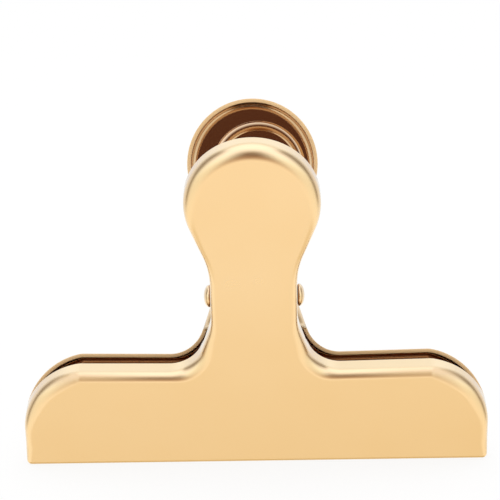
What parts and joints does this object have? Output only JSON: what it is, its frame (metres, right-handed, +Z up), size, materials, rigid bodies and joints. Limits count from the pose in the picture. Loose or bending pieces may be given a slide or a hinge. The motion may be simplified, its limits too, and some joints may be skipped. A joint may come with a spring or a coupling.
{
  "type": "bill clip",
  "caption": "T-shaped sheet-metal bill clip: two polished gold leaves with rounded handles and a wide straight jaw, turned on one rivet and closed by a torsion spring.",
  "frame": {"origin": "on the ground under the middle of the closed jaw, between the two jaw edges", "axes": "+X along the jaw, +Z up from the jaw to the handles, -Y to the front leaf"},
  "size_m": [0.075, 0.0336, 0.0572],
  "materials": {
    "plating": "copper and gold coloured plating on pressed steel, mirror polished",
    "spring_steel": "drawn spring wire, bright"
  },
  "bodies": {
    "rear": {"rear_leaf": "plating", "pivot_rivet": "plating", "torsion_spring": "spring_steel"},
    "front": {"front_leaf": "plating"}
  },
  "joints": [
    {"name": "jaw_hinge", "type": "hinge", "parent": "rear", "child": "front", "pos_m": [0, 0, 0.02793], "axis": [-1, 0, 0], "range_deg": [0, 49], "stiffness_Nm_per_rad": 0.1, "springref_deg": -57.3, "deforming": ["torsion_spring"]}
  ]
}
